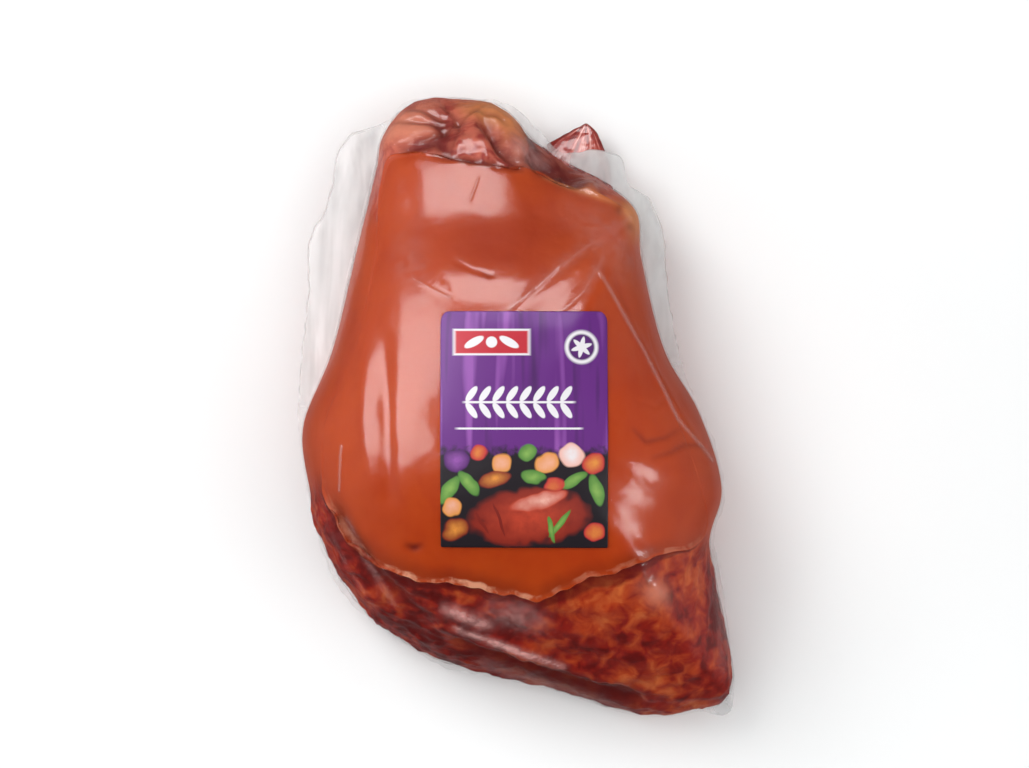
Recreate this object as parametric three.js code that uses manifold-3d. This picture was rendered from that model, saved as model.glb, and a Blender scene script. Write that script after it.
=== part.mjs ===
// A smoked ham with its rind, vacuum packed in clear film, lying on its back with the labelled side up.
// The hock end points along +Y, the cut butt end along -Y, and +Z is up. Millimetres throughout.
// The sealed bag clings to the meat, so bag and ham are one solid, and the loose film margin is fused to it.
import * as THREE from "three";
import { mergeVertices } from "three/addons/utils/BufferGeometryUtils.js";
import { ImprovedNoise } from "three/addons/math/ImprovedNoise.js";
import Module from "manifold-3d";

// Driving dimensions of the ham
const HAM_HEIGHT = 118; // highest point of the rind over the table
const RIND_STEP = 4.5; // how far the rind's cut edge stands over the meat
const FLANK_HEIGHT = 38; // height of the widest line along the flanks
const BUTT_HEIGHT = 13; // the same where the slanted butt face runs out
const HOCK_HEIGHT = 26; // and at the hock's end
const BASE_SHARE = 0.74; // share of the outline that lies flat on the table
const FLANK_ROUNDNESS = 2.35; // exponent of the dome's superellipse
const BUTT_ROUNDNESS = 1.3; // near 1 is a flat slant
const UNDER_ROUNDNESS = 2.1;

// Driving dimensions of the pointed lump of meat beside the hock
const LUMP_TIP = new THREE.Vector3(29.5, 120, 13);
const LUMP_LENGTH = 30;
const LUMP_RADIUS = 26;
const LUMP_ROUNDNESS = 1.25; // near 1 is a sharp cone
const LUMP_LEAN = 0.5; // sideways run for each millimetre of length
const LUMP_FLATNESS = 0.45;

// Driving dimensions of the film margin and the label
const MARGIN_THICKNESS = 1.3;
const MARGIN_ROOT = 0.9; // share of the outline where the margin starts, inside the meat
const LABEL_WIDTH = 67;
const LABEL_HEIGHT = 95;
const LABEL_THICKNESS = 0.6;
const LABEL_CORNER = 4; // radius of the two upper corners, the lower ones are square
const LABEL_GAP = 0.9;
const LABEL_CENTRE = [3, -9];

// How finely each form is divided
const SPOKES = 120;
const SPOKE_CROWDING = 0.17; // draws the spokes towards the two far ends
const DOME_ROWS = 13;
const SIDE_ROWS = 15;
const BASE_ROWS = 2;
const MARGIN_ROWS = 4;
const LABEL_ROWS = 15;

// Where all spokes meet, seen from above
const CENTRE = new THREE.Vector2(3.5, -6);

// Moves the finished part so that the origin lies under the middle of its bounding box
const TO_MIDDLE = new THREE.Vector3(-0.22, 0.62, 0);

// The meat's outline from above, clockwise from the hock's left corner
const MEAT_OUTLINE = [
  [-44, 127], [-12, 126.5], [12, 108], [48.5, 83], [52, 62], [62, 22.5], [76, -2.5], [85.5, -35],
  [80.5, -56.5], [87, -90], [90, -121], [73, -129], [52, -130.5], [15, -119.5], [-12, -113], [-35, -106.5],
  [-64, -87], [-81, -57], [-87, -31], [-89, -9], [-77, 22.5], [-66.5, 65.5], [-60.5, 90.5], [-55, 114],
];

// The film's outer edge from above, the same way round
const FILM_OUTLINE = [
  [-27, 129.6], [-45.5, 128.5], [-55.5, 119.5], [-70.5, 114], [-75.5, 107], [-77, 96], [-81.7, 80], [-87, 71],
  [-87.5, 48.5], [-90.5, 15], [-91.2, -8], [-88.5, -30], [-82.5, -59.5], [-75, -77.5], [-65, -88.5],
  [-45, -102.5], [-32, -110.5], [-11, -115], [18, -121], [52, -131.5], [77, -129.5], [90, -129.5],
  [90, -102.5], [84.5, -64.5], [82.5, -54.5], [87, -39.5],
  [83.5, -17], [70.5, 13.5], [64, 44.5], [61, 75.5], [54.5, 88], [47, 93], [44.5, 103.5], [36.5, 108],
  [19.5, 107], [12, 113], [1, 124.5], [-8, 128.5],
];

// The rind's edge from above: cut edges at the butt and the hock, and a plain line along the flanks
const RIND_EDGE = [
  [-53, 101.5], [-42, 103], [-33, 102.5], [-17, 98.8], [1, 97], [14, 93.5], [24, 89.5], [41, 83],
  [48, 77], [49, 52], [60, 8], [74, -29], [77.5, -52],
  [52, -60], [20, -71.5], [6.5, -77.5], [-3, -74.5], [-26, -70.5], [-52, -66],
  [-68, -54], [-77.5, -36], [-78.5, -8], [-66, 22], [-58, 62],
];

// Height of the crest at stations along the ham, from hock to butt
const CREST = [
  [132, 62], [104, 81.5], [88, 86.2], [77, 89.9], [67, 96.7], [55, 105.7], [47, 109.7], [40, 112.2],
  [30, 115], [0, 117.5], [-35, 118], [-70, 112], [-130, 98],
];

// Angles between which the cut faces lie, in degrees from +X
const BUTT_SECTOR = { from: -168, to: -29 };
const HOCK_SECTOR = { from: 62, to: 130 };
const CUT_FADE = 11; // degrees over which a cut face meets the flank
const SLOPE_FADE = 42; // degrees over which the flank's widest line sinks to a cut face's foot

const noise = new ImprovedNoise();
const mix = THREE.MathUtils.lerp;
const smoothstep = THREE.MathUtils.smoothstep;

// A closed outline as a function: the distance from CENTRE to the curve at an angle in radians
function reachOf(outline) {
  const knots = outline.map(([x, y]) => new THREE.Vector3(x, y, 0));
  const curve = new THREE.CatmullRomCurve3(knots, true, "centripetal");
  const points = curve.getPoints(1440).map((p) => new THREE.Vector2(p.x, p.y).sub(CENTRE));
  const table = points.map((p) => [p.angle(), p.length()]).sort((a, b) => a[0] - b[0]);
  const turn = 2 * Math.PI;
  return (angle) => {
    const wanted = ((angle % turn) + turn) % turn;
    const after = table.findIndex(([a]) => a >= wanted);
    const [a1, r1] = table[after < 0 ? 0 : after];
    const [a0, r0] = table[(after < 0 ? table.length : after + table.length - 1) % table.length];
    const span = (a1 - a0 + turn) % turn;
    return span < 1e-9 ? r1 : mix(r0, r1, ((wanted - a0 + turn) % turn) / span);
  };
}

// A smooth curve through stations given as [place, value], from high places to low ones
function smoothThrough(stations) {
  const rising = [...stations].reverse();
  const slope = rising.map((_, i) => {
    const [x0, v0] = rising[Math.max(i - 1, 0)];
    const [x1, v1] = rising[Math.min(i + 1, rising.length - 1)];
    return (v1 - v0) / (x1 - x0);
  });
  return (place) => {
    const last = rising.length - 1;
    const x = THREE.MathUtils.clamp(place, rising[0][0], rising[last][0]);
    const k = Math.max(1, rising.findIndex(([at]) => at >= x));
    const [x0, v0] = rising[k - 1];
    const [x1, v1] = rising[k];
    const t = (x - x0) / (x1 - x0);
    const h = x1 - x0;
    const start = (1 + 2 * t) * (1 - t) ** 2 * v0 + t * (1 - t) ** 2 * h * slope[k - 1];
    return start + t * t * (3 - 2 * t) * v1 + t * t * (t - 1) * h * slope[k];
  };
}

const meatReach = reachOf(MEAT_OUTLINE);
const filmReach = reachOf(FILM_OUTLINE);
const rindReach = reachOf(RIND_EDGE);
const crestAt = smoothThrough(CREST);

// How far an angle lies inside a sector: 1 well inside, 0 outside
function inSector(angle, { from, to }, fade) {
  const degrees = THREE.MathUtils.radToDeg(angle);
  const middle = (from + to) / 2;
  const away = Math.abs(((((degrees - middle) % 360) + 540) % 360) - 180);
  return 1 - smoothstep(away, (to - from) / 2 - fade, (to - from) / 2);
}

// How much of a cut face an angle has
function cutShare(angle) {
  return Math.max(inSector(angle, BUTT_SECTOR, CUT_FADE), inSector(angle, HOCK_SECTOR, CUT_FADE));
}

// Height of the widest line at an angle
function rimHeight(angle) {
  const butt = inSector(angle, BUTT_SECTOR, SLOPE_FADE);
  const hock = inSector(angle, HOCK_SECTOR, SLOPE_FADE / 2);
  return FLANK_HEIGHT + (BUTT_HEIGHT - FLANK_HEIGHT) * butt + (HOCK_HEIGHT - FLANK_HEIGHT) * hock;
}

// The quarter of a superellipse: 1 at the middle, 0 at the edge
function quarter(share, roundness) {
  return Math.max(0, 1 - Math.min(share, 1) ** roundness) ** (1 / roundness);
}

// Height of the rind's dome at a distance along a spoke
function domeHeight(angle, distance) {
  const y = CENTRE.y + distance * Math.sin(angle);
  const low = rimHeight(angle);
  return low + (crestAt(y) - low) * quarter(distance / meatReach(angle), FLANK_ROUNDNESS);
}

// One spoke's profile outside the rind's edge: down the cut face or flank, round the widest line and under
function sideProfile(angle) {
  const edge = rindReach(angle);
  const reach = meatReach(angle);
  const low = rimHeight(angle);
  const cut = cutShare(angle);
  const edgeHeight = domeHeight(angle, edge);
  const foot = Math.max(edgeHeight - RIND_STEP, low + 1);
  const fine = 60;
  const points = [];
  for (let i = 0; i <= fine; i++) {
    const t = Math.sin(((i / fine) * Math.PI) / 2);
    const distance = mix(edge + 0.9, reach, t);
    const face = low + (foot - low) * quarter(t, BUTT_ROUNDNESS);
    points.push(new THREE.Vector2(distance, mix(domeHeight(angle, distance), face, cut)));
  }
  for (let i = 1; i <= fine; i++) {
    const turn = ((i / fine) * Math.PI) / 2;
    const inward = 1 - Math.cos(turn) ** (2 / UNDER_ROUNDNESS);
    const height = low * (1 - Math.sin(turn) ** (2 / UNDER_ROUNDNESS));
    points.push(new THREE.Vector2(reach * mix(1, BASE_SHARE, inward), height));
  }
  return evenly(points, SIDE_ROWS);
}

// The same polyline with its points spread evenly along its length
function evenly(points, count) {
  const lengths = [0];
  for (let i = 1; i < points.length; i++) {
    lengths.push(lengths[i - 1] + points[i].distanceTo(points[i - 1]));
  }
  const total = lengths[lengths.length - 1];
  return Array.from({ length: count + 1 }, (_, row) => {
    const wanted = (total * row) / count;
    const after = Math.max(1, lengths.findIndex((l) => l >= wanted - 1e-9));
    const t = (wanted - lengths[after - 1]) / (lengths[after] - lengths[after - 1] || 1);
    return points[after - 1].clone().lerp(points[after], t);
  });
}

// A closed surface from rings of points with a pole above and one below
function ringSurface(rings, top, bottom) {
  const count = rings[0].length;
  const positions = [top, ...rings.flat(), bottom].flatMap((p) => [p.x, p.y, p.z]);
  const last = positions.length / 3 - 1;
  const faces = [];
  const at = (ring, spoke) => 1 + ring * count + (spoke % count);
  for (let s = 0; s < count; s++) {
    faces.push(0, at(0, s), at(0, s + 1));
    for (let r = 0; r + 1 < rings.length; r++) {
      faces.push(at(r, s), at(r + 1, s), at(r + 1, s + 1));
      faces.push(at(r, s), at(r + 1, s + 1), at(r, s + 1));
    }
    faces.push(last, at(rings.length - 1, s + 1), at(rings.length - 1, s));
  }
  const geometry = new THREE.BufferGeometry();
  geometry.setAttribute("position", new THREE.Float32BufferAttribute(positions, 3));
  geometry.setIndex(faces);
  return geometry;
}

// The spokes' angles, closer together towards the hock and the butt
function spokeAngles(shift) {
  return Array.from({ length: SPOKES }, (_, i) => {
    const turn = ((i + shift) / SPOKES) * 2 * Math.PI;
    return turn + SPOKE_CROWDING * Math.sin(2 * turn);
  });
}

function spokePoint(angle, distance, height) {
  return new THREE.Vector3(
    CENTRE.x + distance * Math.cos(angle),
    CENTRE.y + distance * Math.sin(angle),
    height,
  );
}

// A rounded ridge or groove along a line on the upper side, as a height for a point
function alongLine(x, y, { from, to, width, height }) {
  const start = new THREE.Vector2(...from);
  const along = new THREE.Vector2(...to).sub(start);
  const point = new THREE.Vector2(x, y).sub(start);
  const t = THREE.MathUtils.clamp(point.dot(along) / along.lengthSq(), 0, 1);
  const away = point.distanceTo(along.multiplyScalar(t));
  return height * Math.exp(-((away / width) ** 2)) * Math.sin(Math.PI * mix(0.15, 0.85, t));
}

// Folds and ledges of the meat and the rind
const FOLDS = [
  { from: [-66, 34], to: [-63, -34], width: 5, height: 1.6 }, // long fold on the left flank
  { from: [-52.5, 26], to: [-50.5, -36], width: 3, height: -1.4 },
  { from: [46, 74], to: [2, 38], width: 3, height: 1.4 }, // film drawn tight from the hock's corner
  { from: [34, 52], to: [78, -24], width: 2.6, height: 1.5 },
  { from: [-30, -89], to: [38, -115], width: 4.5, height: 4.5 }, // ledge across the butt face
  { from: [-24, -97], to: [50, -123], width: 4.5, height: -4.5 },
  { from: [-78, -50], to: [-36, -92], width: 5, height: -3 },
  { from: [60, -66], to: [84, -110], width: 6, height: -2.5 },
  { from: [-50, 106], to: [-28, 118], width: 6, height: 3 }, // folds of meat at the hock
  { from: [-28, 116], to: [-14, 102], width: 6, height: 4 },
  { from: [-26, 127], to: [-22, 114], width: 4, height: -5 }, // pit between them
  { from: [-20, 126], to: [0, 114], width: 6, height: 5 }, // roll of skin round the hock
  { from: [-2, 118], to: [7, 101], width: 5, height: 4.5 },
  { from: [-16, 116], to: [0, 98], width: 4, height: -5 }, // groove inside the roll
  { from: [10, 101], to: [36, 86], width: 6, height: -8 }, // hollow beside the hock
];
const CRAG_SIZE = 11;
const CRAG_HEIGHT = 1.7;

// The ham in its film: dome, rind's edge, cut faces, flanks and a flat base
function hamGeometry() {
  const rings = [];
  const angles = spokeAngles(0);
  for (let row = 1; row <= DOME_ROWS; row++) {
    const share = (row / DOME_ROWS) ** 0.92;
    rings.push(angles.map((a) => spokePoint(a, rindReach(a) * share, domeHeight(a, rindReach(a) * share))));
  }
  const sides = angles.map(sideProfile);
  for (let row = 0; row <= SIDE_ROWS; row++) {
    rings.push(angles.map((a, i) => spokePoint(a, sides[i][row].x, sides[i][row].y)));
  }
  for (let row = 1; row <= BASE_ROWS; row++) {
    const share = BASE_SHARE * (1 - row / (BASE_ROWS + 1));
    rings.push(angles.map((a) => spokePoint(a, meatReach(a) * share, 0)));
  }
  const top = spokePoint(0, 0, domeHeight(0, 0));
  const geometry = ringSurface(rings, top, spokePoint(0, 0, 0));
  geometry.computeVertexNormals();
  const position = geometry.getAttribute("position");
  const normal = geometry.getAttribute("normal");
  for (let i = 0; i < position.count; i++) {
    const ring = Math.floor((i - 1) / SPOKES);
    const angle = angles[(i - 1 + SPOKES) % SPOKES];
    const [x, y, z] = [position.getX(i), position.getY(i), position.getZ(i)];
    const upper = smoothstep(z, 4, 16) * (normal.getZ(i) > -0.2 ? 1 : 0);
    const meat = ring >= DOME_ROWS ? cutShare(angle) : 0;
    const crags = noise.noise(x / CRAG_SIZE, y / CRAG_SIZE, z / CRAG_SIZE) * CRAG_HEIGHT * meat;
    const folds = FOLDS.reduce((sum, fold) => sum + alongLine(x, y, fold), 0);
    const lift = upper * (crags + folds);
    position.setXYZ(
      i,
      x + normal.getX(i) * lift,
      y + normal.getY(i) * lift,
      Math.max(0, z + normal.getZ(i) * lift),
    );
  }
  return geometry;
}

// The loose film beyond the meat: a thin wavy flange right round, broad at the left and at the hock
function marginGeometry() {
  const angles = spokeAngles(0.5);
  const upper = [];
  const lower = [];
  for (let row = 0; row <= MARGIN_ROWS; row++) {
    const t = row / MARGIN_ROWS;
    const ring = angles.map((a) => {
      const inner = meatReach(a) * MARGIN_ROOT;
      const outer = Math.max(filmReach(a), meatReach(a) * 0.985);
      const distance = mix(inner, outer, t);
      const wave = 3.2 * Math.sin(9 * a) + 1.8 * Math.sin(17 * a + 1);
      const loose = smoothstep(outer - meatReach(a), 1, 12);
      return spokePoint(a, distance, Math.max(4, rimHeight(a) + loose * t * (wave - 5)));
    });
    upper.push(ring.map((p) => p.clone().setZ(p.z + MARGIN_THICKNESS / 2)));
    lower.push(ring.map((p) => p.clone().setZ(p.z - MARGIN_THICKNESS / 2)));
  }
  const rings = [...upper, ...lower.reverse()];
  const middle = rimHeight(0);
  return ringSurface(
    rings,
    spokePoint(0, 0, middle + MARGIN_THICKNESS / 2),
    spokePoint(0, 0, middle - MARGIN_THICKNESS / 2),
  );
}

// The pointed lump of meat that sticks out from under the margin beside the hock
function lumpGeometry() {
  const steps = 8;
  const profile = Array.from({ length: steps + 1 }, (_, i) => {
    const fromTip = 1 - Math.cos(((i / steps) * Math.PI) / 2);
    return new THREE.Vector2(LUMP_RADIUS * quarter(1 - fromTip, LUMP_ROUNDNESS), -LUMP_LENGTH * fromTip);
  });
  const lump = new THREE.LatheGeometry([...profile, new THREE.Vector2(0, -LUMP_LENGTH)].reverse(), 18);
  lump.scale(1, 1, LUMP_FLATNESS);
  const lean = new THREE.Matrix4().makeShear(0, 0, LUMP_LEAN, 0, 0, 0);
  lump.applyMatrix4(lean);
  lump.translate(LUMP_TIP.x, LUMP_TIP.y, LUMP_TIP.z);
  return lump;
}

// A closed geometry as a solid that can be joined to others
const wasm = await Module();
wasm.setup();

function solidOf(geometry) {
  const plain = geometry.clone();
  plain.deleteAttribute("normal");
  plain.deleteAttribute("uv");
  const merged = mergeVertices(plain, 1e-4);
  return new wasm.Manifold(
    new wasm.Mesh({
      numProp: 3,
      vertProperties: new Float32Array(merged.attributes.position.array),
      triVerts: new Uint32Array(merged.index.array),
    }),
  );
}

function geometryOf(solid) {
  const mesh = solid.getMesh();
  const geometry = new THREE.BufferGeometry();
  geometry.setAttribute("position", new THREE.BufferAttribute(new Float32Array(mesh.vertProperties), 3));
  geometry.setIndex(new THREE.BufferAttribute(new Uint32Array(mesh.triVerts), 1));
  geometry.computeVertexNormals();
  return geometry;
}

const packedHam = solidOf(hamGeometry()).add(solidOf(marginGeometry())).add(solidOf(lumpGeometry()));

const film = new THREE.MeshStandardMaterial({ color: 0xb0461f, roughness: 0.25, metalness: 0 });
const bag = new THREE.Mesh(geometryOf(packedHam), film);
bag.name = "vacuum_bag";

// The label's rows as [height, inset], crowded into the round upper corners
function labelRows() {
  const rows = [];
  const cornerSteps = 3;
  for (let i = 0; i <= cornerSteps; i++) {
    const turn = ((i / cornerSteps) * Math.PI) / 2;
    rows.push([LABEL_HEIGHT / 2 - LABEL_CORNER * (1 - Math.sin(turn)), LABEL_CORNER * (1 - Math.cos(turn))]);
  }
  const straight = LABEL_HEIGHT / 2 - LABEL_CORNER;
  const middle = Array.from({ length: LABEL_ROWS - 1 }, (_, i) => {
    const share = (2 * (i + 1)) / LABEL_ROWS - 1;
    return [straight * share, 0];
  });
  return [...rows.map(([v]) => [-v, 0]).reverse(), ...middle, ...rows];
}

// The label: a thin sheet with round corners, laid on the bag
function labelGeometry() {
  const columns = 12;
  const ray = new THREE.Raycaster();
  const down = new THREE.Vector3(0, 0, -1);
  const surface = (x, y) => {
    ray.set(new THREE.Vector3(x, y, 2 * HAM_HEIGHT), down);
    return ray.intersectObject(bag)[0].point.z;
  };
  const points = { top: [], bottom: [] };
  const places = labelRows();
  const rows = places.length - 1;
  for (const [v, inset] of places) {
    for (let column = 0; column <= columns; column++) {
      const x = LABEL_CENTRE[0] + (column / columns - 0.5) * (LABEL_WIDTH - 2 * inset);
      const y = LABEL_CENTRE[1] + v;
      const z = surface(x, y) + LABEL_GAP;
      points.bottom.push(new THREE.Vector3(x, y, z));
      points.top.push(new THREE.Vector3(x, y, z + LABEL_THICKNESS));
    }
  }
  const across = columns + 1;
  const offset = points.top.length;
  const faces = [];
  const quad = (a, b, c, d) => faces.push(a, b, c, a, c, d);
  for (let r = 0; r < rows; r++) {
    for (let c = 0; c < columns; c++) {
      const at = r * across + c;
      quad(at, at + 1, at + across + 1, at + across);
      quad(offset + at, offset + at + across, offset + at + across + 1, offset + at + 1);
    }
  }
  const side = (a, b) => quad(a, offset + a, offset + b, b);
  for (let c = 0; c < columns; c++) {
    side(c, c + 1);
    side(rows * across + c + 1, rows * across + c);
  }
  for (let r = 0; r < rows; r++) {
    side((r + 1) * across, r * across);
    side(r * across + columns, (r + 1) * across + columns);
  }
  const geometry = new THREE.BufferGeometry();
  const all = [...points.top, ...points.bottom].flatMap((p) => [p.x, p.y, p.z]);
  geometry.setAttribute("position", new THREE.Float32BufferAttribute(all, 3));
  geometry.setIndex(faces);
  geometry.computeVertexNormals();
  return geometry;
}

const paper = new THREE.MeshStandardMaterial({ color: 0x6f3fa0, roughness: 0.35, metalness: 0 });
const label = new THREE.Mesh(labelGeometry(), paper);
label.name = "label";

const ham = new THREE.Group();
ham.add(bag, label);
ham.position.copy(TO_MIDDLE);
export default ham;
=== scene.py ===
"""The looks of a smoked ham in its vacuum bag: the meat, the clear film over it and the stuck-on label."""

import math

import bpy
import numpy as np
from mathutils import Euler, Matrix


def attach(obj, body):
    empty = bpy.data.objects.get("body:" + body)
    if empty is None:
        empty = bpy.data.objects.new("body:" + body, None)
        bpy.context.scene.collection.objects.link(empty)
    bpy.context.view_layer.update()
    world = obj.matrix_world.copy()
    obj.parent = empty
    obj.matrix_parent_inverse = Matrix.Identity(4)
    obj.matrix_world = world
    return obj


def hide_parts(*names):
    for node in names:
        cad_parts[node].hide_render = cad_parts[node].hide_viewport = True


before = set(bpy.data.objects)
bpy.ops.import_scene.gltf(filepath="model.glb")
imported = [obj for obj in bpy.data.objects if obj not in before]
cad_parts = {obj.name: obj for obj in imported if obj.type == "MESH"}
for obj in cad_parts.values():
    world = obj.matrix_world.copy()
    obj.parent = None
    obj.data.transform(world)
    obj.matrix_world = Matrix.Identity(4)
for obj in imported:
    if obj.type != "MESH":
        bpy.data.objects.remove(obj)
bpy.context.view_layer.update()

MM = 0.001

# The ham's driving sizes in millimetres, the same as the solid's
RIND_STEP = 4.5
FLANK_HEIGHT = 38
BUTT_HEIGHT = 13
HOCK_HEIGHT = 26
BASE_SHARE = 0.74
FLANK_ROUNDNESS = 2.35
BUTT_ROUNDNESS = 1.3
UNDER_ROUNDNESS = 2.1
CENTRE = np.array([3.5, -6.0])
TO_MIDDLE = np.array([-0.22, 0.62, 0.0])
SPOKE_CROWDING = 0.17

# Outlines seen from above in millimetres, once round the ham from its hock end
MEAT_OUTLINE = [
    (-44, 127), (-12, 126.5), (12, 108), (48.5, 83), (52, 62), (62, 22.5), (76, -2.5), (85.5, -35),
    (80.5, -56.5), (87, -90), (90, -121), (73, -129), (52, -130.5), (15, -119.5), (-12, -113),
    (-35, -106.5), (-64, -87), (-81, -57), (-87, -31), (-89, -9), (-77, 22.5), (-66.5, 65.5),
    (-60.5, 90.5), (-55, 114),
]
FILM_OUTLINE = [
    (-27, 129.6), (-45.5, 128.5), (-55.5, 119.5), (-70.5, 114), (-75.5, 107), (-77, 96), (-81.7, 80),
    (-87, 71), (-87.5, 48.5), (-90.5, 15), (-91.2, -8), (-88.5, -30), (-82.5, -59.5), (-75, -77.5),
    (-65, -88.5), (-45, -102.5), (-32, -110.5), (-11, -115), (18, -121), (52, -131.5), (77, -129.5),
    (90, -129.5), (90, -102.5), (84.5, -64.5), (82.5, -54.5), (87, -39.5), (83.5, -17), (70.5, 13.5),
    (64, 44.5), (61, 75.5), (54.5, 88), (47, 93), (44.5, 103.5), (36.5, 108), (19.5, 107), (12, 113),
    (1, 124.5), (-8, 128.5),
]
RIND_EDGE = [
    (-53, 101.5), (-42, 103), (-33, 102.5), (-17, 98.8), (1, 97), (14, 93.5), (24, 89.5), (41, 83),
    (48, 77), (49, 52), (60, 8), (74, -29),
    (77.5, -52), (52, -60), (20, -71.5), (6.5, -77.5), (-3, -74.5), (-26, -70.5), (-52, -66),
    (-68, -54), (-77.5, -36), (-78.5, -8), (-66, 22), (-58, 62),
]

# The crest as (place along the ham, height), from butt to hock
CREST = [
    (-130, 98), (-70, 112), (-35, 118), (0, 117.5), (30, 115), (40, 112.2), (47, 109.7), (55, 105.7),
    (67, 96.7), (77, 89.9), (88, 86.2), (104, 81.5), (132, 62),
]

# Sectors of the cut faces in degrees, and how softly they begin
BUTT_SECTOR = (-168, -29)
HOCK_SECTOR = (62, 130)
CUT_FADE = 11
SLOPE_FADE = 42

# Ridges and grooves of the ham as (points seen from above, width, height, tint); the dark and faint tints are
# painted shade in its grooves, hollows and recesses
FOLDS = [
    # The rind: long ridges and grooves, the creased corner on the right, and small dents
    (((-62, 36), (-61.3, 2), (-60, -32)), 4.2, 1.0, None),
    (((-53, 27), (-51, -36)), 3.2, -1.1, None),
    (((-25, 59), (-17, 54.5), (-9, 52.6)), 0.8, -0.35, None),
    (((44.5, 82.5), (48.2, 78.5), (49, 70)), 3.4, 0.6, "skin"),
    (((46.2, 83), (47.2, 78.6)), 2.3, 0.3, "skin"),
    (((42, 83), (42.4, 79.2)), 1.3, -0.3, "faint"),
    (((45.6, 75), (47.4, 72.6)), 1.5, -0.3, "faint"),
    # painted shade: the rind deeper below the hock's glint, where the film mirrors the least light
    (((-26, 76), (-12, 68), (10, 74)), 13, 0, "deep"),
    (((12, 95), (24, 90.2), (41, 84)), 1.3, 0.3, "skin"),
    (((-13.6, 54.5), (-11, 52.6), (-8.6, 53.8)), 0.8, -0.3, "faint"),
    # painted shadow: a dark line under the hock's cut face
    (((-34, 103.5), (-24, 101.5), (-7, 98.6), (2, 98)), 1.3, -0.8, "dark"),
    (((38, -61), (49, -59), (60, -57)), 5, 1.0, None),
    (((46, 74), (2, 38)), 3, 0.5, None),
    (((34, 52), (78, -24)), 2.6, 0.6, None),
    (((-44, -56), (-41.5, -57), (-39, -56)), 1.5, -0.5, "dark"),
    (((55, -20.5), (62, -18.5), (68, -15.5), (76, -16)), 1.0, -0.45, "faint"),
    (((47, -9), (52, -14), (60, -12.5), (66, -9)), 1.0, -0.35, "faint"),
    (((48, 3), (56, 0), (62, 4)), 1.0, -0.3, None),
    # The butt: a ledge with a deep hollow under it, and folds to both sides
    (((-30, -89), (-6, -97), (14, -106.5), (38, -115)), 3.6, 4.5, None),
    # painted shade in the hollow under the ledge
    (((-24, -97), (4, -106), (30, -116), (50, -123)), 3.4, -5, "dark"),
    (((-20, -101), (6, -110), (30, -119.5), (46, -125)), 6.5, 0, "dark"),
    (((-36, -82), (-24, -84), (-10, -91)), 3, 2.2, None),
    # painted shade in a groove on the butt's left
    (((-74, -44), (-60, -66), (-44, -80)), 3, -2.5, "dark"),
    (((-80, -48), (-68, -70), (-50, -88)), 4, 2.5, None),
    (((60, -66), (74, -88), (84, -110)), 6, -2.2, None),
    # a lump on the butt's right, its tan partly a painted highlight
    (((52, -72), (60, -78)), 5, 1.8, "tan"),
    (((54, -80), (66, -92)), 6, 0.4, "fat"),
    (((42, -112), (68, -119)), 6, 0.4, "fat"),
    # The hock: folded skin on the left, a rolled lobe of skin on the right, and a recess beside it
    (((-54, 109), (-46, 119), (-35, 124.8)), 4, 2.5, "tan"),
    (((-48, 112.8), (-35.7, 115.3)), 3, 0.8, "tan"),
    # painted shade in the grooves and pits between the hock's folds
    (((-46, 107), (-34, 109.5), (-28, 105)), 3, -1.6, "dark"),
    (((-33, 120), (-28, 110)), 3.2, -2.0, "dark"),
    (((-24, 119), (-23.6, 116)), 2.2, -3.0, "dark"),
    (((-46, 123.6), (-36, 121.5), (-25.5, 118.5)), 0.9, -1.1, "faint"),
    (((-50, 117), (-38, 117.4), (-26, 117.6)), 0.8, -0.9, "faint"),
    (((-40, 110), (-32, 113.6), (-25.5, 116.6)), 0.9, -1.1, "faint"),
    (((-31, 126), (-27.5, 122.6), (-24.5, 119)), 0.9, -1.2, "faint"),
    (((-14, 124), (-19, 121), (-23, 118.6)), 0.8, -1.0, "faint"),
    (((-27, 104), (-25.5, 109), (-24, 115)), 1.0, -1.0, "faint"),
    # painted shade in the groove and recess beside the rolled lobe
    (((2.5, 117), (6, 111), (9, 105)), 2.4, -1.2, "dark"),
    (((4, 104.5), (14, 99.8), (24, 95), (31, 91.5)), 5.0, 0, "dark"),
    (((-23.3, 113), (-22.8, 104.5)), 4, 2.2, None),
    (((-17.5, 115), (-12.5, 102.5)), 4.2, 3.4, None),
    # painted shade in the groove inside the lobe
    (((-13.8, 117.5), (-6.6, 107.1), (-0.2, 100.9)), 2.6, -4.2, "dark"),
    (((-22.9, 125.5), (-12.2, 124.6), (-5, 121), (0, 115), (4, 110)), 3.2, 2.0, "skin"),
    (((-21, 121.5), (-11, 120), (-5.2, 116.5), (-4.2, 112)), 2.6, 2.2, "skin"),
    (((-16, 121.6), (-9, 119.6), (-4.6, 115.6)), 0.9, -1.0, "faint"),
    (((-1.5, 108), (4.5, 103.5)), 4, 1.6, "tan"),
    # painted shade in the deep recess beside the hock
    (((7, 104), (15, 99), (26, 93.5)), 3.8, -6.5, "dark"),
    (((17.5, 97.6), (19.2, 96.7)), 2.2, 3.5, "tan"),
    (((26, 93), (33, 90)), 3, 2.5, "tan"),
]

# The film's own creases as (points, width, height), drawn tight from the hock's right corner and
# round the label
CREASES = [
    (((47, 78), (17.4, 57), (-2.6, 39)), 2.4, 0.6),
    (((35.5, 61), (27.5, 47), (19.4, 39)), 2.0, 0.5),
    (((33.5, 55), (49.6, 27), (65.6, -5), (80.5, -22)), 1.9, 0.5),
    (((-42, 52), (-26.6, 44)), 1.2, 0.3),
    (((-15.6, 94), (-19, 84)), 1.2, -0.4),
    (((-71, -16), (-72, -34)), 1.2, 0.4),
]
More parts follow.
